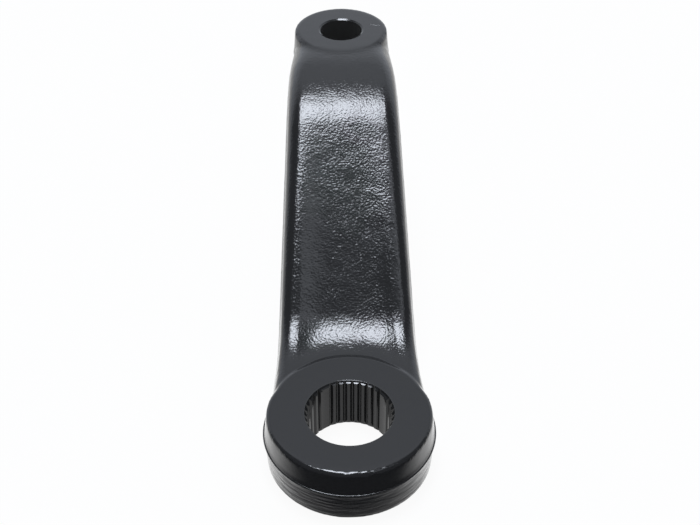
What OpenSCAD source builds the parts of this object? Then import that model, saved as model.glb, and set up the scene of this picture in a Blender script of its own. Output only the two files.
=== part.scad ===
// Forged drop pitman arm: a splined shaft eye, an S-bent ribbed arm and a tapered stud eye.
// All sizes in millimetres. The shaft axis is Z through the origin, which sits half way
// down the splined bore. The arm leaves along +Y and climbs to the stud eye.

/* [Layout] */
// distance between the shaft axis and the stud axis
eye_spacing = 175; // [165:1:195]
// height of the stud eye face above the shaft eye face
eye_rise = 58; // [45:1:66]

/* [Shaft eye] */
// diameter of the machined face
shaft_face_d = 57.5; // [56:0.5:59]
// thickness between the two faces
shaft_eye_t = 22.5; // [21:0.5:26]
// depth of the parting line below the machined face
shaft_parting = 9.4; // [8:0.2:11]
// draft of the wall above the parting line in degrees
shaft_draft = 6; // [3:0.5:7]
// draft of the wall below the parting line in degrees
shaft_under_draft = 3; // [2:0.5:5]
// rounding between face and wall
shaft_edge_r = 1.2; // [0.8:0.1:1.8]
// how far the trimmed flash stands out at the parting line
flash_out = 0.3; // [0.2:0.05:0.6]
// height of the trimmed flash band
flash_h = 1.6; // [1:0.1:2.4]

/* [Spline] */
// diameter over the tooth tips
spline_tip_d = 30.6; // [29.6:0.1:31]
// depth of the grooves between teeth
spline_depth = 0.95; // [0.7:0.05:1.1]
// tooth positions round the full circle
spline_teeth = 36; // [36:4:40]
// wide master teeth, spread evenly
master_teeth = 4; // [2:2:4]
// groove width at the tooth tips as a share of the pitch
groove_share = 0.6; // [0.5:0.02:0.64]
// chamfer at both ends of the teeth
spline_chamfer = 1.2; // [1:0.1:1.4]

/* [Stud eye] */
// diameter of the machined face
stud_face_d = 38.4; // [37.6:0.2:39.6]
// thickness between the two faces
stud_eye_t = 23; // [22:0.5:26]
// draft of the forged wall in degrees
stud_draft = 4; // [3:0.5:6]
// rounding between face and wall
stud_edge_r = 0.9; // [0.5:0.1:1.4]
// diameter of the tapered hole at its large end
stud_hole_d = 18.2; // [16:0.2:20]
// length of taper for one unit of diameter
taper_ratio = 8; // [6:0.5:10]
// chamfer at the large end of the taper
stud_chamfer = 0.5; // [0.3:0.1:0.8]

/* [Arm] */
// full width at the shaft axis, carried on from the straight flanks
arm_w_shaft = 56.4; // [54:0.2:57.4]
// full width at the stud axis
arm_w_stud = 43.8; // [42.6:0.2:44]
// thickness above the parting line
arm_over = 10.5; // [9.5:0.25:11]
// thickness below the parting line
arm_under = 9; // [8:0.25:10]
// height of the arm over the shaft eye face where the seat is cut
seat_step = 0.5; // [0.4:0.1:1.2]
// drop from the stud eye face to the arm beside it
stud_step = 0.3; // [0.2:0.1:0.8]
// bend radius of the parting line next to the shaft eye
bend_low_r = 55.5; // [50:0.5:61]
// bend radius of the parting line next to the stud eye
bend_high_r = 62.5; // [54:0.5:68]
// distance from the shaft axis to the lower bend
bend_start = 25; // [24:0.5:28]
// level length before the stud axis
neck_flat = 22; // [19:0.5:26]
// rounding of the upper edges, carried on to the shaft axis
edge_r = 3.4; // [3:0.2:4.2]
// growth of that rounding towards the stud eye
edge_growth = 3.2; // [1.6:0.2:3.6]
// further growth right before the stud eye
edge_flare = 6; // [2:0.5:7]
// length of that further growth
edge_flare_len = 50; // [44:1:56]
// rounding of the lower edges
edge_under_r = 4; // [3:0.25:5]
// width of the raised rib along each upper edge
rib_w = 2.8; // [2.2:0.1:3.6]
// width over which the channel dishes from rib to floor
rib_slope = 11; // [7:0.5:12]
// depth of the channel between the ribs
channel_depth = 1.3; // [0.6:0.1:1.8]
// length over which the channel deepens at the lower bend
channel_in = 16; // [12:1:20]
// length over which it runs out at the upper bend
channel_out = 90; // [76:2:100]
// flare of each flank into the shaft eye
shoulder_flare = 2.6; // [1.6:0.1:3]
// length of that flare
shoulder_len = 45; // [38:1:50]
// narrowing of each flank into the stud eye
neck_pinch = 1.6; // [1.2:0.1:2.2]
// length of that narrowing
neck_len = 28; // [22:1:34]
// draft of the flanks in degrees
flank_draft = 7; // [4:0.5:9]
// fillet between the arm and the eye walls
eye_fillet = 2.5; // [1.5:0.25:3]

/* [Hidden] */
$fn = 96;
paint = [0.07, 0.07, 0.075];
eps = 0.01;

face_z = shaft_eye_t / 2;
shaft_r = shaft_face_d / 2;
stud_r = stud_face_d / 2;
stud_z = face_z + eye_rise;

// the parting line of the arm runs level, up a tangent slope and level again
low_z = face_z + seat_step - arm_over;
high_z = stud_z - stud_step - arm_over;
run = eye_spacing - neck_flat - bend_start;
climb = high_z - low_z;
both_r = bend_low_r + bend_high_r;
slope_len = sqrt(run * run + (climb - both_r) * (climb - both_r) - both_r * both_r);
slope = atan2(climb - both_r, run) + atan2(both_r, slope_len);
arc_low = bend_low_r * slope * PI / 180;
arc_high = bend_high_r * slope * PI / 180;
s_low = bend_start + arc_low;
s_slope = s_low + slope_len;
s_high = s_slope + arc_high;
s_stud = s_high + neck_flat;

// radius of an eye wall some way below its face
function wall_r(face_r, edge, down, draft) =
    face_r + edge * (1 - sin(draft)) / cos(draft) + down * tan(draft);

shaft_part_r = wall_r(shaft_r, shaft_edge_r, shaft_parting, shaft_draft);
stud_parting = stud_z - high_z;
stud_part_r = wall_r(stud_r, stud_edge_r, stud_parting, stud_draft);
stud_top_r = stud_r + stud_edge_r;

// tilt of the parting line at arc length s
function tilt(s) =
    s < bend_start ? 0 :
    s < s_low ? (s - bend_start) / bend_low_r * 180 / PI :
    s < s_slope ? slope :
    s < s_high ? slope - (s - s_slope) / bend_high_r * 180 / PI : 0;

low_end = [
    bend_start + bend_low_r * sin(slope),
    low_z + bend_low_r * (1 - cos(slope))
];
slope_end = low_end + slope_len * [cos(slope), sin(slope)];

// point of the parting line in the YZ plane at arc length s
function spine(s) =
    s < bend_start ? [s, low_z] :
    s < s_low ? [
        bend_start + bend_low_r * sin(tilt(s)),
        low_z + bend_low_r * (1 - cos(tilt(s)))
    ] :
    s < s_slope ? low_end + (s - s_low) * [cos(slope), sin(slope)] :
    s < s_high ? slope_end + bend_high_r * [
        sin(slope) - sin(tilt(s)),
        cos(tilt(s)) - cos(slope)
    ] : [eye_spacing - neck_flat + s - s_high, high_z];

function clamp01(t) = max(0, min(1, t));
function ease(t) = let (c = clamp01(t)) c * c * (3 - 2 * c);
function sq(t) = t * t;

// half width of the arm over the flash at arc length s
function half_w(s) =
    arm_w_shaft / 2 + (arm_w_stud - arm_w_shaft) / 2 * s / s_stud
    + shoulder_flare * sq(max(0, 1 - s / shoulder_len))
    - neck_pinch * sq(max(0, 1 - (s_stud - s) / neck_len));

// depth of the channel, which runs out at the upper bend and before the seat
function channel(s) =
    channel_depth * (0.35 + 0.65 * ease((s - bend_start) / channel_in))
    * (1 - ease((s - s_slope) / channel_out + 0.65));

// rounding of the upper edges at arc length s
function edge_at(s) =
    let (flare = edge_flare * sq(max(0, 1 - (s_stud - s) / edge_flare_len)))
    min(arm_over * 0.88, edge_r + edge_growth * s / s_stud + flare);

// upper half of a section, from the middle out to the flash, as [x, height]
function over_half(s) =
    let (
        w = half_w(s) - flash_out,
        c = channel(s),
        a = flank_draft,
        e = edge_at(s),
        foot = w - (arm_over - e) * tan(a),
        cx = foot - e / cos(a) + e * tan(a) * 0.1,
        crest = cx - rib_w,
        dish = min(rib_slope, crest * 0.75)
    ) concat(
        [[0, arm_over - c], [(crest - dish) * 0.55, arm_over - c]],
        [for (i = [0:5])
            [crest - dish * (1 - i / 5), arm_over - c * (1 - sq(i / 5))]],
        [[crest + rib_w * 0.5, arm_over]],
        [for (i = [0:6])
            let (q = (90 - a) * i / 6)
            [cx + e * sin(q), arm_over - e + e * cos(q)]],
        [[w, flash_h / 2], [half_w(s), flash_h / 2 - 0.1]]
    );

// lower half of a section, from the flash in to the middle
function under_half(s) =
    let (
        w = half_w(s) - flash_out,
        a = flank_draft,
        foot = w - (arm_under - edge_under_r) * tan(a),
        cx = foot - edge_under_r / cos(a) + edge_under_r * tan(a) * 0.1
    ) concat(
        [[half_w(s), 0.1 - flash_h / 2], [w, -flash_h / 2]],
        [for (i = [0:5])
            let (q = (90 - a) * (1 - i / 5))
            [cx + edge_under_r * sin(q), edge_under_r - arm_under - edge_under_r * cos(q)]],
        [[cx * 0.5, -arm_under], [0, -arm_under]]
    );

// every point of a section by number, right side first and then its mirror image
half_n = 28;
loop_n = 2 * half_n - 2;
function right_half(s) = concat(over_half(s), under_half(s));
function loop_point(s, i) =
    i < half_n ? right_half(s)[i] :
    let (q = right_half(s)[loop_n - i]) [-q[0], q[1]];

// how far a section bows at width x so that it runs round an eye at distance d
function bow(d, x) =
    (d - sqrt(max(d * d - x * x, 9))) * (1 - ease(0.85 * d / shaft_part_r - 0.93));
function bowed(s, x) = s - bow(s, x) + bow(s_stud - s, x);

// height of a round fillet against an eye wall at distance d from its axis
function fillet(d, r) =
    d >= r + eye_fillet ? 0 :
    d <= r ? eye_fillet :
    eye_fillet - sqrt(sq(eye_fillet) - sq(r + eye_fillet - d));

// lift or lower a point of the arm so that it sweeps into the eye walls
function blend(p, h) =
    let (
        d_shaft = norm([p[0], p[1]]),
        d_stud = norm([p[0], p[1] - eye_spacing]),
        near = p[1] < eye_spacing / 2,
        rise = near ? fillet(d_shaft, shaft_part_r) : fillet(d_stud, stud_top_r),
        roof = near ? face_z - 0.3 : stud_z - 0.3,
        base = near ? 0.4 - face_z : stud_z - stud_eye_t + 0.3
    )
    h > 0 ? [p[0], p[1], p[2] + max(0, min(rise * clamp01((h - 4) / 5), roof - p[2]))] :
    [p[0], p[1], p[2] - max(0, min(rise * clamp01((-h - 4) / 4), p[2] - base))];

function section(s) =
    [for (i = [0:loop_n - 1])
        let (
            b = bowed(s, loop_point(s, i)[0]),
            q = loop_point(b, i),
            c = spine(b),
            t = tilt(b)
        ) blend([q[0], c[0] - q[1] * sin(t), c[1] + q[1] * cos(t)], q[1])];

// stations crowd together where the fillets are
steps = 32;
near = [-1.4, 0, 0.1, 0.28, 0.56, 1, 1.9, 3.1, 4.5];
near_shaft = [for (k = near) shaft_part_r + k * eye_fillet];
near_stud = [for (i = [8:-1:0]) s_stud - stud_top_r - near[i] * eye_fillet];
mid_first = near_shaft[8] + 3.5;
mid_last = near_stud[0] - 3.5;
stations = concat(
    near_shaft,
    [for (i = [0:steps]) mid_first + (mid_last - mid_first) * i / steps],
    near_stud
);
s_first = stations[0];
s_last = stations[len(stations) - 1];

// solid skin through a list of closed sections, each end closed round its own middle point
module loft(sections, first_mid, last_mid) {
    n = len(sections[0]);
    m = len(sections);
    polyhedron(
        points = concat([for (s = sections) each s], [first_mid, last_mid]),
        faces = concat(
            [for (i = [0:n - 1]) [i, (i + 1) % n, m * n]],
            [for (k = [0:m - 2]) for (i = [0:n - 1])
                let (j = (i + 1) % n)
                each [
                    [k * n + i, (k + 1) * n + i, (k + 1) * n + j],
                    [k * n + i, (k + 1) * n + j, k * n + j]
                ]],
            [for (i = [0:n - 1]) [(m - 1) * n + (i + 1) % n, (m - 1) * n + i, m * n + 1]]
        ),
        convexity = 8
    );
}

// quarter of a rounded edge from the face of an eye to its drafted wall
function edge_arc(face_r, edge, draft) =
    [for (i = [0:6])
        let (q = (90 - draft) * i / 6)
        [face_r + edge * sin(q), edge * (cos(q) - 1)]];

// forged eye: drafted walls above and below a trimmed flash band, edges rounded
module eye(face_r, edge, t, parting, part_r, over_draft, under_draft) {
    low_r = part_r - (t - parting) * tan(under_draft)
        - edge * (1 - sin(under_draft)) / cos(under_draft);
    low = edge_arc(low_r, edge, under_draft);
    rotate_extrude()
        polygon(concat(
            [[0, 0]],
            edge_arc(face_r, edge, over_draft),
            [
                [part_r, flash_h / 2 - parting],
                [part_r + flash_out, flash_h / 2 - 0.1 - parting],
                [part_r + flash_out, 0.1 - flash_h / 2 - parting],
                [part_r, -flash_h / 2 - parting]
            ],
            [for (i = [6:-1:0]) [low[i][0], -t - low[i][1]]],
            [[0, -t]]
        ));
}

// tool that clears the arm off the machined seat, with a round nose
module seat_cutter() {
    nose = 0.8;
    rotate_extrude()
        union() {
            square([shaft_r, 12]);
            translate([0, nose])
                square([shaft_r + nose, 12 - nose]);
            translate([shaft_r, nose])
                circle(nose);
        }
}

// round bore with straight grooves between the teeth; a master tooth fills one groove
module spline_cutter() {
    r = spline_tip_d / 2;
    pitch = 360 / spline_teeth;
    every = spline_teeth / master_teeth;
    half = r * sin(pitch * groove_share / 2);
    long = shaft_eye_t + 2;
    translate([0, 0, -long / 2]) {
        cylinder(h = long, r = r);
        for (i = [0:spline_teeth - 1])
            if ((i + 6) % every != 0)
                rotate((i + 0.5) * pitch)
                    linear_extrude(long)
                        polygon([
                            [0, r - 1.5],
                            [half * 1.1, r - 0.3],
                            [half * 0.62, r + spline_depth],
                            [-half * 0.62, r + spline_depth],
                            [-half * 1.1, r - 0.3]
                        ]);
    }
    for (side = [0, 1])
        mirror([0, 0, side])
            translate([0, 0, face_z - spline_chamfer])
                cylinder(h = spline_chamfer + eps, r1 = r, r2 = r + spline_chamfer + eps);
}

// taper for the stud, large end at the machined face
module stud_cutter() {
    top_r = stud_hole_d / 2;
    over = 1;
    grow = 1 / (2 * taper_ratio);
    long = stud_eye_t + 2 * over;
    translate([0, 0, -stud_eye_t - over])
        cylinder(h = long, r1 = top_r - (stud_eye_t + over) * grow, r2 = top_r + over * grow);
    translate([0, 0, -stud_chamfer])
        cylinder(h = stud_chamfer + eps, r1 = top_r, r2 = top_r + stud_chamfer + eps);
}

module pitman_arm() {
    color(paint)
        difference() {
            union() {
                loft(
                    [for (s = stations) section(s)],
                    [0, s_first - 4, low_z],
                    [0, eye_spacing - s_stud + s_last + 2, high_z]
                );
                translate([0, 0, face_z])
                    eye(shaft_r, shaft_edge_r, shaft_eye_t, shaft_parting, shaft_part_r,
                        shaft_draft, shaft_under_draft);
                translate([0, eye_spacing, stud_z])
                    eye(stud_r, stud_edge_r, stud_eye_t, stud_parting, stud_part_r,
                        stud_draft, stud_draft);
            }
            translate([0, 0, face_z])
                seat_cutter();
            spline_cutter();
            translate([0, eye_spacing, stud_z])
                stud_cutter();
        }
}

pitman_arm();
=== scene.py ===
import bpy
import bmesh
import math
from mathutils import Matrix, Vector


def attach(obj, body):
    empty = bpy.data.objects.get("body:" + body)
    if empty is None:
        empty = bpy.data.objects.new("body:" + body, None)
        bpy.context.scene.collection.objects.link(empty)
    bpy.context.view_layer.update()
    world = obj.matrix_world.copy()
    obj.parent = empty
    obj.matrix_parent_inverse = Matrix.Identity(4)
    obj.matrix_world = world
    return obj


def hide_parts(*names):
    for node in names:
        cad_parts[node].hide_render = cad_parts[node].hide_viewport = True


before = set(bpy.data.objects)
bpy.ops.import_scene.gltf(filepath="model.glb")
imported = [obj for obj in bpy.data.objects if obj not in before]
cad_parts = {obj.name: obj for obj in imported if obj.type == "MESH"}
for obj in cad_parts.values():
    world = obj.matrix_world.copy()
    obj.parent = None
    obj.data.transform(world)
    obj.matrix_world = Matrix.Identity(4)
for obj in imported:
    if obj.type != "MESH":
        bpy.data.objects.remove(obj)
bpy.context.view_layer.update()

# Forged bar
# The middle of the arm: one steel bar, hot forged between two dies, so that its flanks lean
# in from a parting line with trimmed flash, with a shallow channel between two rounded ribs
# on its upper side. It is bent up and level again and runs into an eye at each end.
mm = 0.001
bar_start, bar_over, bar_under = 4.0, 10.5, 9.0
bar_lean = math.tan(math.radians(7))
flash_out, flash_top, flash_foot = 0.3, 0.7, 0.9
low_z, high_z = 1.25, 58.45
bend_start, neck_flat, stud_y = 25.0, 22.0, 175.0
low_bend_r, high_bend_r = 55.5, 62.5
half_width, taper = 28.2, 6.3
shoulder_flare, shoulder_len = 2.6, 45
neck_pinch, neck_len = 1.6, 28
channel_depth, channel_in, channel_out = 1.3, 16, 80
edge_start, edge_growth, edge_most, edge_under = 3.4, 3.2, 9.24, 4.0
edge_flare, edge_flare_len = 6, 50
run = stud_y - neck_flat - bend_start
both_r = low_bend_r + high_bend_r
rise_left = high_z - low_z - both_r
slope_len = math.sqrt(run ** 2 + rise_left ** 2 - both_r ** 2)
slope = math.atan2(rise_left, run) + math.atan2(both_r, slope_len)
at_low = bend_start + low_bend_r * slope
at_slope = at_low + slope_len
at_high = at_slope + high_bend_r * slope
at_stud = at_high + neck_flat


def ease(t):
    """0 up to 0, 1 from 1 on, and a soft S between."""
    t = max(0.0, min(1.0, t))
    return t * t * (3 - 2 * t)


def spine(s):
    """Distance, height and tilt of the parting line, s millimetres along the bar."""
    low_y = bend_start + low_bend_r * math.sin(slope)
    top_z = low_z + low_bend_r * (1 - math.cos(slope))
    if s < bend_start:
        return s, low_z, 0.0
    if s < at_low:
        t = (s - bend_start) / low_bend_r
        return bend_start + low_bend_r * math.sin(t), low_z + low_bend_r * (1 - math.cos(t)), t
    if s < at_slope:
        d = s - at_low
        return low_y + d * math.cos(slope), top_z + d * math.sin(slope), slope
    low_y += slope_len * math.cos(slope)
    top_z += slope_len * math.sin(slope)
    if s < at_high:
        t = slope - (s - at_slope) / high_bend_r
        return (low_y + high_bend_r * (math.sin(slope) - math.sin(t)),
                top_z + high_bend_r * (math.cos(t) - math.cos(slope)), t)
    return stud_y - neck_flat + s - at_high, high_z, 0.0


def bar_half(s):
    """Half width over the flash: an even taper, flared at the shaft eye, pinched at the stud eye."""
    return (half_width - taper * s / at_stud
            + shoulder_flare * max(0.0, 1 - s / shoulder_len) ** 2
            - neck_pinch * max(0.0, 1 - (at_stud - s) / neck_len) ** 2)


def channel(s):
    """Depth of the channel, which is shallower by the seat and runs out over the upper bend."""
    return (channel_depth * (0.65 + 0.35 * ease((s - bend_start) / channel_in))
            * (1 - ease((s - at_slope) / channel_out + 0.8)))


def edge_r(s):
    """Rounding of the upper edges, which grows towards the stud eye, most right before it."""
    return min(edge_most, edge_start + edge_growth * s / at_stud
               + edge_flare * max(0.0, 1 - (at_stud - s) / edge_flare_len) ** 2)


def solid(add, **settings):
    """A primitive by itself, with its place and turn worked into its mesh."""
    bpy.ops.object.select_all(action="DESELECT")
    add(**settings)
    bpy.ops.object.transform_apply()
    return bpy.context.object


def pick(piece, test, kind="VERT", among=None):
    """In edit mode, selects what has its middle where the test says, in millimetres."""
    bpy.ops.mesh.select_mode(type=kind)
    bpy.ops.mesh.select_all(action="DESELECT")
    cage = bmesh.from_edit_mesh(piece.data)
    if kind == "VERT":
        for i, v in enumerate(cage.verts):
            v.select_set((among is None or i in among) and test(v.co / mm))
    else:
        for part in (cage.edges if kind == "EDGE" else cage.faces):
            middle = sum((v.co for v in part.verts), Vector()) / len(part.verts)
            part.select_set(test(middle / mm))
    cage.select_flush_mode()
    bmesh.update_edit_mesh(piece.data)


def cut(co, no):
    """In edit mode, cuts the whole mesh along a plane and keeps both sides."""
    bpy.ops.mesh.select_all(action="SELECT")
    bpy.ops.mesh.bisect(plane_co=Vector(co) * mm, plane_no=no)


# The cross-section at the shaft eye: flash, leaning flanks, rounded edges, and cuts for the channel.
# A bevel on a corner starts a share of its radius away, and each cut takes a share of the depth.
half = bar_half(bar_start)
flash_lines = (flash_foot, flash_top, -flash_top, -flash_foot)
bevel_share, rib_share, rib_w, lean_in = 0.885, 0.872, 2.8, 1.59
dish = [(1.2, 0.2), (1.4, 0.2), (1.7, 0.2), (2.0, 0.19), (2.1, 0.14), (2.4, 0.07)]
near = 0.05
arm = solid(bpy.ops.mesh.primitive_plane_add, size=1)
arm.name = "forged_arm"
bpy.ops.object.mode_set(mode="EDIT")
bpy.ops.transform.rotate(value=math.radians(90), orient_axis="X", center_override=(0, 0, 0))
bpy.ops.transform.resize(value=(2 * half * mm, 1, (bar_over + bar_under) * mm))
bpy.ops.transform.translate(value=(0, bar_start * mm, (low_z + (bar_over - bar_under) / 2) * mm))
for h in flash_lines:
    cut((0, 0, low_z + h), (0, 0, 1))
for h, lean in ((bar_over, bar_over), (flash_foot, 0), (-flash_foot, 0), (-bar_under, bar_under)):
    pick(arm, lambda c: abs(c.z - low_z - h) < near)
    bpy.ops.transform.resize(value=((half - flash_out - lean * bar_lean) / half, 1, 1),
                             center_override=(0, 0, 0))
for h, r in ((bar_over, edge_r(bar_start)), (-bar_under, edge_under)):
    pick(arm, lambda c: abs(c.z - low_z - h) < near)
    bpy.ops.mesh.bevel(offset=r * bevel_share * mm, segments=7, affect="VERTICES")
rib_at = half - (lean_in + rib_share * edge_r(bar_start) + rib_w)
for side in (-1, 1):
    inner = rib_at
    for width, share in [(0, 0)] + dish:
        inner -= width
        cut((side * inner, 0, 0), (1, 0, 0))

# The bar: the cross-section drawn along the spine, narrowed, rounded and sunk a little at each station.
station_count, bar_end = 90, at_stud - 2
stations = [bar_start + (bar_end - bar_start) * i / station_count for i in range(station_count + 1)]
bpy.ops.mesh.select_all(action="SELECT")
for last, s in zip(stations, stations[1:]):
    y0, z0, t0 = spine(last)
    y, z, t = spine(s)
    here = Vector((0, y, z))
    up = Vector((0, -math.sin(t), math.cos(t)))
    ahead = up.cross(Vector((1, 0, 0)))
    bpy.ops.mesh.extrude_region_move(
        TRANSFORM_OT_translate={"value": (0, (y - y0) * mm, (z - z0) * mm)})
    if t != t0:
        bpy.ops.transform.rotate(value=t0 - t, orient_axis="X", center_override=here * mm)
    ring = {i for i, v in enumerate(bmesh.from_edit_mesh(arm.data).verts) if v.select}
    inward = bar_half(s) - bar_half(last)
    rib_in = bevel_share * (edge_r(s) - edge_r(last)) if s < at_slope else 0
    rib_at += inward - rib_in
    corner = bar_half(s) - flash_out - bar_over * bar_lean
    flat = corner - bevel_share * edge_r(last) - 0.06
    for side in (-1, 1):
        pick(arm, lambda c: c.x * side > 0, among=ring)
        bpy.ops.transform.translate(value=(side * inward * mm, 0, 0))
        pick(arm, lambda c: 0 < c.x * side < flat and (c - here).dot(up) > 4, among=ring)
        bpy.ops.transform.translate(value=(-side * rib_in * mm, 0, 0))
        pick(arm, lambda c: c.x * side > flat and (c - here).dot(up) > 1.5, among=ring)
        edge_corner = Vector((side * corner, 0, 0)) + here + up * bar_over
        bpy.ops.transform.resize(value=[edge_r(s) / edge_r(last)] * 3, center_override=edge_corner * mm)
    sink = channel(s) - (channel(last) if last > bar_start else 0)
    inner = rib_at
    for width, share in dish:
        inner -= width
        pick(arm, lambda c: abs(c.x) < inner + 0.3 and (c - here).dot(up) > 4, among=ring)
        bpy.ops.transform.translate(value=-up * sink * share * mm)
    pick(arm, lambda c: abs((c - here).dot(ahead)) < 0.3, "FACE")
bpy.ops.mesh.select_all(action="SELECT")
bpy.ops.mesh.normals_make_consistent(inside=False)
bpy.ops.object.mode_set(mode="OBJECT")

# Eyes
# Each end of the bar is upset into a round eye in the same dies: walls that lean in above
# and below the trimmed flash, and edges rounded by the die. The shaft eye is the larger one.
shaft_face_z, shaft_thick = 11.25, 22.5
stud_face_z, stud_thick = 69.25, 23


def forged_eye(name, y, face_z, thick, parting, top_r, part_r, low_r, edge):
    """An eye with its radius at the top, the parting line and the bottom, and its edges' rounding."""
    eye = solid(bpy.ops.mesh.primitive_cylinder_add, vertices=128, radius=part_r * mm,
                depth=thick * mm, location=(0, y * mm, (face_z - thick / 2) * mm))
    eye.name = name
    bpy.ops.object.mode_set(mode="EDIT")
    line = face_z - parting
    for h in flash_lines:
        cut((0, 0, line + h), (0, 0, 1))
    flash_r = part_r + flash_out
    for h, r in ((face_z, top_r), (line + flash_top, flash_r), (line - flash_top, flash_r),
                 (face_z - thick, low_r)):
        pick(eye, lambda c: abs(c.z - h) < near)
        bpy.ops.transform.resize(value=(r / part_r, r / part_r, 1), center_override=(0, y * mm, 0))
    for h in (face_z, face_z - thick):
        pick(eye, lambda c: abs(c.z - h) < near, "EDGE")
        bpy.ops.mesh.bevel(offset=edge * 0.9 * mm, segments=4, affect="EDGES")
    bpy.ops.object.mode_set(mode="OBJECT")
    return eye


def modify(piece, kind, **settings):
    """Adds a modifier to the piece and applies it."""
    bpy.ops.object.select_all(action="DESELECT")
    bpy.context.view_layer.objects.active = piece
    piece.select_set(True)
    step = piece.modifiers.new(kind.lower(), kind)
    for name, value in settings.items():
        setattr(step, name, value)
    bpy.ops.object.modifier_apply(modifier=step.name)


def boolean(piece, other, how):
    """Adds the other solid to the piece, or cuts it away, and removes the other."""
    modify(piece, "BOOLEAN", operation=how, solver="EXACT", object=other)
    bpy.data.objects.remove(other)


boolean(arm, forged_eye("shaft_eye", 0, shaft_face_z, shaft_thick, 9.4, 29.83, 30.82, 30.13, 1.2),
        "UNION")
boolean(arm, forged_eye("stud_eye", stud_y, stud_face_z, stud_thick, 10.8, 20.04, 20.79, 19.94, 0.9),
        "UNION")

# Spot face
# The shaft nut's seat is machined after forging: a round-nosed facing tool, turned about the
# shaft axis, clears the arm off the eye's upper face and leaves a low curved wall.
seat_r, tool_len, nose_r = 29.5, 20, 0.8
facing_tool = solid(bpy.ops.mesh.primitive_cylinder_add, vertices=128, radius=seat_r * mm,
                    depth=tool_len * mm, location=(0, 0, (shaft_face_z + tool_len / 2) * mm))
bpy.ops.object.mode_set(mode="EDIT")
pick(facing_tool, lambda c: abs(c.z - shaft_face_z) < near, "EDGE")
bpy.ops.mesh.bevel(offset=nose_r * mm, segments=4, affect="EDGES")
bpy.ops.object.mode_set(mode="OBJECT")
boolean(arm, facing_tool, "DIFFERENCE")


# Forged skin
# The dies leave soft edges, fillets where the bar runs into the eyes and an uneven surface.
# The blank is given an even fine mesh, smoothed, more in the fillets, lowered behind the seat
# and made uneven, most on the knocked front edge of the shaft eye.
def weigh(piece, name, weight):
    """A vertex group with the weight that a function gives for a place in millimetres."""
    group = piece.vertex_groups.new(name=name)
    for v in piece.data.vertices:
        w = weight(v.co / mm)
        if w > 0:
            group.add([v.index], w, "REPLACE")
    return group.name


def fillets(c):
    """Where the bar meets the eyes, and the floor of the channel."""
    to_shaft, to_stud = math.hypot(c.x, c.y), math.hypot(c.x, c.y - stud_y)
    at_shaft = c.y > 6 and abs(to_shaft - 31.5) < 4 and abs(c.z) < 10.3
    seat_edge = c.y > 8 and 29.2 < to_shaft < 36 and c.z > 10.3 and abs(c.x) < 22
    by_stud = c.y < stud_y - 3 and 19.2 < to_stud < 24 and c.z > stud_face_z - 1.3
    on_middle = abs(c.x) < 17 and 36 < c.y < 160
    return 1.0 if at_shaft or seat_edge or by_stud or on_middle else 0.0


def rough_skin(c):
    """Everything but the machined faces."""
    to_shaft, to_stud = math.hypot(c.x, c.y), math.hypot(c.x, c.y - stud_y)
    on_shaft_eye = to_shaft < 29.6 and abs(abs(c.z) - shaft_face_z) < 0.6
    on_stud_eye = to_stud < 20 and (abs(c.z - stud_face_z) < 0.6
                                    or abs(c.z - stud_face_z + stud_thick) < 0.6)
    return 0.0 if on_shaft_eye or on_stud_eye else 1.0


def valley(c):
    """Behind the seat, where the skin lies lower than the machined face, most at the sides."""
    if c.y < 6 or c.y > 85:
        return 0.0
    to_shaft = math.hypot(c.x, c.y)
    bent = min(max(0.0, c.y - bend_start), low_bend_r * math.sin(slope))
    over = (c.z - low_z - low_bend_r + math.sqrt(low_bend_r ** 2 - bent ** 2)
            - max(0.0, c.y - bend_start - bent) * math.tan(slope))
    side = ease((abs(c.x) - 8) / 10)
    return (ease((c.y - 6) / 8) * ease((over - 3) / 5) * ease((to_shaft - 28.3) / (2.7 - 0.9 * side))
            * (0.58 * (1 - ease((c.y - 40) / 45)) + 0.42 * side * (1 - ease((to_shaft - 31) / 18))))


def worn_rim(c):
    """The front of the shaft eye's upper edge, which has been knocked about."""
    if c.y > -18 or c.z < 8.4 or math.hypot(c.x, c.y) < 27:
        return 0.0
    return max(0.0, 1 - abs(c.x) / 22)


def uneven(piece, name, grain, detail, strength, group):
    """Pushes the skin in and out by a cloud noise of the given grain."""
    noise = bpy.data.textures.new(name, "CLOUDS")
    noise.noise_scale = grain * mm
    noise.noise_depth = detail
    modify(piece, "DISPLACE", texture=noise, texture_coords="LOCAL", strength=strength * mm,
           mid_level=0.5, vertex_group=group)


modify(arm, "REMESH", mode="VOXEL", voxel_size=0.66 * mm)
modify(arm, "SMOOTH", factor=0.5, iterations=4)
modify(arm, "SMOOTH", factor=0.5, iterations=30, vertex_group=weigh(arm, "fillets", fillets))
modify(arm, "SMOOTH", factor=0.5, iterations=30, vertex_group=weigh(arm, "worn_rim", worn_rim))
modify(arm, "DISPLACE", direction="Z", strength=-1.1 * mm, mid_level=0.0,
       vertex_group=weigh(arm, "valley", valley))
uneven(arm, "rim_nicks", 1.8, 1, 0.45, "worn_rim")
uneven(arm, "scale_lumps", 9, 2, 0.16, weigh(arm, "rough_skin", rough_skin))

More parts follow.
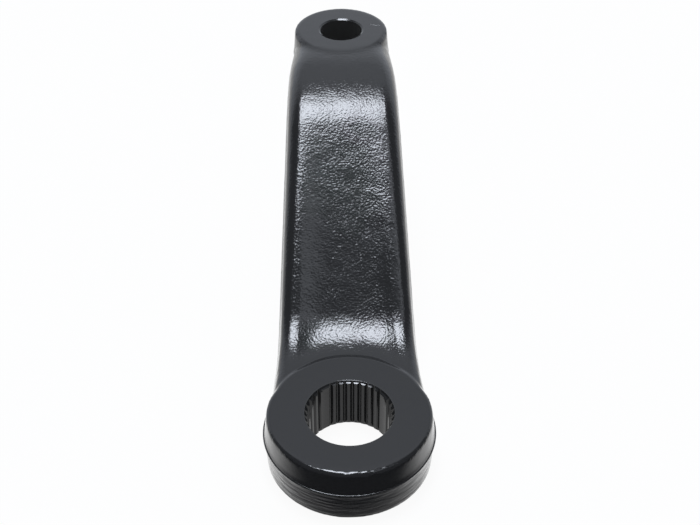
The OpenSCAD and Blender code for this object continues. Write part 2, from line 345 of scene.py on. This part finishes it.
# Splined bore and stud hole
# The bore is broached: thirty-six tooth positions, four of whose grooves are left out to make
# wide master teeth, with both ends chamfered. The stud hole is reamed to a one in eight taper.
teeth, tooth_r, groove_depth = 36, 15.3, 0.95
broach = solid(bpy.ops.mesh.primitive_cylinder_add, vertices=5 * teeth, radius=tooth_r * mm,
               depth=25 * mm)
bpy.ops.object.mode_set(mode="EDIT")
for i in range(teeth):
    if (i + 6) % 9 == 0:
        continue
    a = math.radians(90 + 10 * (i + 0.5))
    out = Vector((math.cos(a), math.sin(a), 0))
    side = Vector((-out.y, out.x, 0))
    in_groove = math.cos(math.radians(3))
    pick(broach, lambda c: c.xy.length > 14 and c.normalized().dot(out) > in_groove, "FACE")
    bpy.ops.mesh.extrude_region_move(TRANSFORM_OT_translate={"value": out * groove_depth * mm})
    for end in (-1, 1):
        for first, far, inward in ((0.5, 1.2, 0.5), (0.1, 0.32, 0.15)):
            pick(broach, lambda c: c.dot(out) > 15.9 and first < end * c.dot(side) < far)
            bpy.ops.transform.translate(value=-side * end * inward * mm)
bpy.ops.object.mode_set(mode="OBJECT")


def trim(piece, y, **dropped):
    """Cuts the piece off across Y and closes it."""
    bpy.ops.object.mode_set(mode="EDIT")
    bpy.ops.mesh.select_all(action="SELECT")
    bpy.ops.mesh.bisect(plane_co=(0, y * mm, 0), plane_no=(0, 1, 0), use_fill=True, **dropped)
    bpy.ops.object.mode_set(mode="OBJECT")


# Each chamfer: which end, smaller and larger radius, depth of each below the face, what is dropped.
chamfers = [(1, 16.15, 16.75, 0.085, -0.1, None), (1, 15.85, 16.2, 0.75, 0.05, None),
            (1, 15.1, 15.9, 1.05, 0.74, {"clear_inner": True}),
            (1, 15.1, 15.87, 1.9, 0.74, {"clear_outer": True}),
            (-1, 15.1, 16.65, 1.3, -0.2, None)]
for end, low_r, high_r, low, high, dropped in chamfers:
    chamfer = solid(bpy.ops.mesh.primitive_cone_add, vertices=144,
                    radius1=(low_r if end > 0 else high_r) * mm,
                    radius2=(high_r if end > 0 else low_r) * mm, depth=(low - high) * mm,
                    location=(0, 0, end * (shaft_face_z - (low + high) / 2) * mm))
    if dropped:
        trim(chamfer, 12, **dropped)
    boolean(broach, chamfer, "UNION")
boolean(arm, broach, "DIFFERENCE")

reamer = solid(bpy.ops.mesh.primitive_cone_add, vertices=128, radius1=7.6 * mm, radius2=9.1625 * mm,
               depth=25 * mm, location=(0, stud_y * mm, (stud_face_z - 11.5) * mm))
stud_chamfer = solid(bpy.ops.mesh.primitive_cone_add, vertices=128, radius1=9.1 * mm,
                     radius2=10.05 * mm, depth=0.48 * mm,
                     location=(0, stud_y * mm, (stud_face_z - 0.14) * mm))
boolean(reamer, stud_chamfer, "UNION")
boolean(arm, reamer, "DIFFERENCE")

# Parting line
# Where the flash was trimmed off the shaft eye, a fine groove is left below its stump. It runs
# round the eye and stops at the bar.
trim_line = solid(bpy.ops.mesh.primitive_torus_add, major_segments=160, minor_segments=10,
                  major_radius=31.15 * mm, minor_radius=0.34 * mm, location=(0, 0, 1.15 * mm))
trim(trim_line, 12, clear_outer=True)
boolean(arm, trim_line, "DIFFERENCE")
flash_stump = solid(bpy.ops.mesh.primitive_torus_add, major_segments=160, minor_segments=12,
                    major_radius=31.0 * mm, minor_radius=0.42 * mm, location=(0, 0, 1.9 * mm))
boolean(arm, flash_stump, "UNION")

# Scratch
# A knock has cut a short scratch into the machined face of the stud eye. It is a shallow
# trough with one long side, and the paint lies over it.
scratch = solid(bpy.ops.mesh.primitive_cube_add, size=1,
                location=(15 * mm, 178.9 * mm, (stud_face_z + 0.33) * mm),
                rotation=(math.radians(26), 0, math.radians(-18.6)),
                scale=(4.6 * mm, 1.2 * mm, 0.6 * mm))
boolean(arm, scratch, "DIFFERENCE")
bpy.ops.object.select_all(action="DESELECT")
arm.select_set(True)
bpy.context.view_layer.objects.active = arm
bpy.ops.object.shade_smooth_by_angle(angle=math.radians(25))
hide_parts("pitman_arm")
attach(arm, "root")


# Black paint
# A dipped gloss black, laid over everything. It follows the crinkled scale of the forged skin,
# lies smooth on the machined faces, where the turning lines show through, and in the bores. There
# the colour is lifted towards steel: thin paint in the spline bore, and mostly painted light in the
# stud hole, standing in for light that reaches into it.
class Shade:
    """A socket of a shader tree; sums written on it add their Math nodes."""

    def __init__(self, tree, socket=None):
        self.tree, self.socket = tree, socket

    def node(self, kind, settings=None, inputs=None, out=0):
        made = self.tree.nodes.new(kind)
        for name, value in (settings or {}).items():
            setattr(made, name, value)
        for name, value in (inputs or {}).items():
            if isinstance(value, Shade):
                self.tree.links.new(value.socket, made.inputs[name])
            else:
                made.inputs[name].default_value = value
        return Shade(self.tree, made.outputs[out] if made.outputs else None)

    def math(self, how, *values):
        return self.node("ShaderNodeMath", {"operation": how}, dict(enumerate(values)))

    def noise(self, scale, detail):
        """A noise about zero over the place that this socket gives."""
        return self.node("ShaderNodeTexNoise", None,
                         {"Vector": self, "Scale": scale, "Detail": detail}) - 0.5

    def __add__(self, other):
        return self.math("ADD", self, other)

    def __radd__(self, other):
        return self.math("ADD", other, self)

    def __sub__(self, other):
        return self.math("SUBTRACT", self, other)

    def __rsub__(self, other):
        return self.math("SUBTRACT", other, self)

    def __mul__(self, other):
        return self.math("MULTIPLY", self, other)

    def __rmul__(self, other):
        return self.math("MULTIPLY", other, self)

    def __abs__(self):
        return self.math("ABSOLUTE", self)

    def step(self, low, high):
        """0 at low, 1 at high, eased between."""
        return self.node("ShaderNodeMapRange", {"interpolation_type": "SMOOTHSTEP"},
                         {"Value": self, "From Min": low, "From Max": high})


def fresh_tree(owner):
    """The owner's node tree, emptied, ready for sums."""
    owner.use_nodes = True
    owner.node_tree.nodes.clear()
    return Shade(owner.node_tree)


black, bore_steel_and_light_colour = (0.013, 0.013, 0.0135, 1), (1, 0.98, 0.92, 1)
paint = bpy.data.materials.new("black_paint")
tree = fresh_tree(paint)
place = tree.node("ShaderNodeTexCoord", out="Object")
place = tree.node("ShaderNodeVectorMath", {"operation": "SCALE"}, {0: place, "Scale": 1000.0})
x, y, z = (tree.node("ShaderNodeSeparateXYZ", None, {0: place}, axis) for axis in range(3))
from_stud = y - stud_y
to_stud = tree.math("SQRT", x * x + from_stud * from_stud)
to_shaft = tree.math("SQRT", x * x + y * y)
on_shaft_face = abs(abs(z) - shaft_face_z).step(0.5, 0.2) * to_shaft.step(29.4, 28.9)
on_stud_face = abs(z - stud_face_z).step(0.5, 0.2) * to_stud.step(19.8, 19.3)
in_bore = to_shaft.step(16.6, 16.4) + to_stud.step(9.9, 9.6)
smooth = tree.math("MINIMUM", on_shaft_face + on_stud_face + in_bore, 1.0)
skin = 1 - smooth
crinkle, lumps, nicks = place.noise(1.2, 1.0), place.noise(0.2, 1.0), place.noise(0.45, 2.0)
on_wall = to_shaft.step(31.6, 31.2)
on_rim = to_shaft.step(28.0, 29.0) * on_wall * z.step(9.0, 10.2) * y.step(-4, -14)
drag = tree.node("ShaderNodeVectorMath", {"operation": "MULTIPLY"}, {0: place, 1: (0.1, 0.1, 0.6)})
streaks = drag.noise(1.0, 2.0)
turning = tree.math("SINE", tree.math("MINIMUM", to_shaft, to_stud) * 9.0)
height = (skin * ((1 - 0.8 * on_wall) * (crinkle * 0.1 + lumps * 0.02) + on_rim * nicks * 0.3
                  + on_wall * z.step(1.2, 0.6) * streaks * 0.45)
          + smooth * (turning * 0.0003 + lumps * 0.04))
bump = tree.node("ShaderNodeBump", None, {"Height": height, "Distance": 1.0 * mm, "Strength": 1.0})
# Lighter bores: thin paint over steel in the spline bore; in the stud hole the larger lift is painted
# light, standing in for light reaching into the hole.
bore_steel_and_painted_light = to_shaft.step(16.6, 16.4) * 0.006 + to_stud.step(9.2, 9.0) * 0.06
colour = tree.node("ShaderNodeMix", {"data_type": "RGBA"}, {0: bore_steel_and_painted_light, 6: black, 7: bore_steel_and_light_colour}, out=2)
shader = tree.node("ShaderNodeBsdfPrincipled", None, {
    "Base Color": colour,
    "Roughness": 0.17 - smooth * 0.03,
    "IOR": 1.5,
    "Normal": bump,
})
tree.node("ShaderNodeOutputMaterial", None, {"Surface": shader})
arm.data.materials.clear()
arm.data.materials.append(paint)

# Studio
# A pale floor under the shaft eye, which in reflections shows a painted shadow under the bore,
# a painted lighter ring round the eye and painted shade in front of the arm. One large softbox
# overhead and a little behind, a weak fill on the right, a pale surround that is darker on the
# camera's side, and the camera where the photograph was taken.
white, cool = (1, 1, 1, 1), (0.86, 0.91, 1, 1)
floor = solid(bpy.ops.mesh.primitive_plane_add, size=6, location=(0, 0, -11.3 * mm))
floor.name = "studio_floor"
pale = bpy.data.materials.new("pale_floor")
tree = fresh_tree(pale)
seen = tree.node("ShaderNodeLightPath", out="Is Camera Ray")
mirrored = tree.math("MAXIMUM", tree.node("ShaderNodeLightPath", out="Is Glossy Ray"),
                     tree.node("ShaderNodeLightPath", out="Is Transmission Ray"))
on_floor = tree.node("ShaderNodeTexCoord", out="Object")
across = tree.node("ShaderNodeSeparateXYZ", None, {0: on_floor}, "X")
toward = tree.node("ShaderNodeSeparateXYZ", None, {0: on_floor}, "Y")
spot = tree.math("SQRT", across * across + toward * toward)
# Seen only by glossy and transmission rays: a painted shadow under the shaft bore, a painted lighter
# ring round the eye, and painted shade towards the front, where a dark flag would stand.
painted_shadow_under_eye = 0.78 + spot.step(0.014, 0.03) * 0.2
painted_light_round_eye = spot.step(0.02, 0.03) * spot.step(0.11, 0.07) * 0.5
level = (painted_shadow_under_eye + painted_light_round_eye) * (0.02 + toward.step(-0.041, -0.008) * 0.98)
lit = tree.node("ShaderNodeBsdfDiffuse", None, {"Color": (0.8, 0.8, 0.8, 1)})
# Reflections see the painted floor level; camera rays see plain white.
glow = tree.node("ShaderNodeEmission", None, {"Color": 1 - mirrored * (1 - level), "Strength": 1.0})
mixed = tree.node("ShaderNodeMixShader", None,
                  {0: tree.math("MAXIMUM", seen, mirrored) * 0.94, 1: lit, 2: glow})
tree.node("ShaderNodeOutputMaterial", None, {"Surface": mixed})
floor.data.materials.append(pale)

world = bpy.data.worlds.new("studio")
bpy.context.scene.world = world
tree = fresh_tree(world)
seen = tree.node("ShaderNodeLightPath", out="Is Camera Ray")
way = tree.node("ShaderNodeTexCoord", out="Generated")
back = tree.node("ShaderNodeSeparateXYZ", None, {0: way}, "Y")
up = tree.node("ShaderNodeSeparateXYZ", None, {0: way}, "Z")
behind = (0.6 + up.step(0.695, 0.72) * 0.125 + up.step(0.75, 0.79) * 0.12
          + up.step(0.66, 0.5) * 0.2)
around = 0.22 + back.step(0.3, 0.5) * behind
level = tree.node("ShaderNodeMix", {"data_type": "FLOAT"}, {0: seen, 2: around, 3: 1.0})
tint = tree.node("ShaderNodeMix", {"data_type": "RGBA"}, {0: seen, 6: cool, 7: white}, out=2)
shine = tree.node("ShaderNodeBackground", None, {"Color": tint, "Strength": level})
tree.node("ShaderNodeOutputWorld", None, {"Surface": shine})


def soft_light(name, way, distance, size, energy):
    """A softbox that lies the given way from the middle of the arm and faces it."""
    middle = Vector((0, 80, 35)) * mm
    light = bpy.data.lights.new(name, "AREA")
    light.shape = "RECTANGLE"
    light.size, light.size_y = size
    light.energy = energy
    light.color = cool[:3]
    lamp = bpy.data.objects.new(name, light)
    bpy.context.scene.collection.objects.link(lamp)
    lamp.location = middle + Vector(way).normalized() * distance
    lamp.rotation_euler = Vector(way).to_track_quat("Z", "Y").to_euler()


soft_light("overhead_softbox", (-0.06, 0.119, 0.991), 2.4, (0.9, 0.735), 43.5)
soft_light("side_fill", (0.3, -0.17, 0.94), 2.4, (0.6, 1.0), 2.8)

focal_px, photo_width_px, sensor = 1247.5, 700, 36
lens = bpy.data.cameras.new("camera")
lens.sensor_width = sensor
lens.lens = focal_px / photo_width_px * sensor
lens.clip_start = 0.01
camera = bpy.data.objects.new("camera", lens)
bpy.context.scene.collection.objects.link(camera)
camera.location = Vector((-6.48, -312.47, 334.53)) * mm
camera.rotation_euler = (math.radians(90 - 39.139), 0, math.radians(-1.221))
bpy.context.scene.camera = camera
bpy.context.scene.view_settings.view_transform = "Standard"
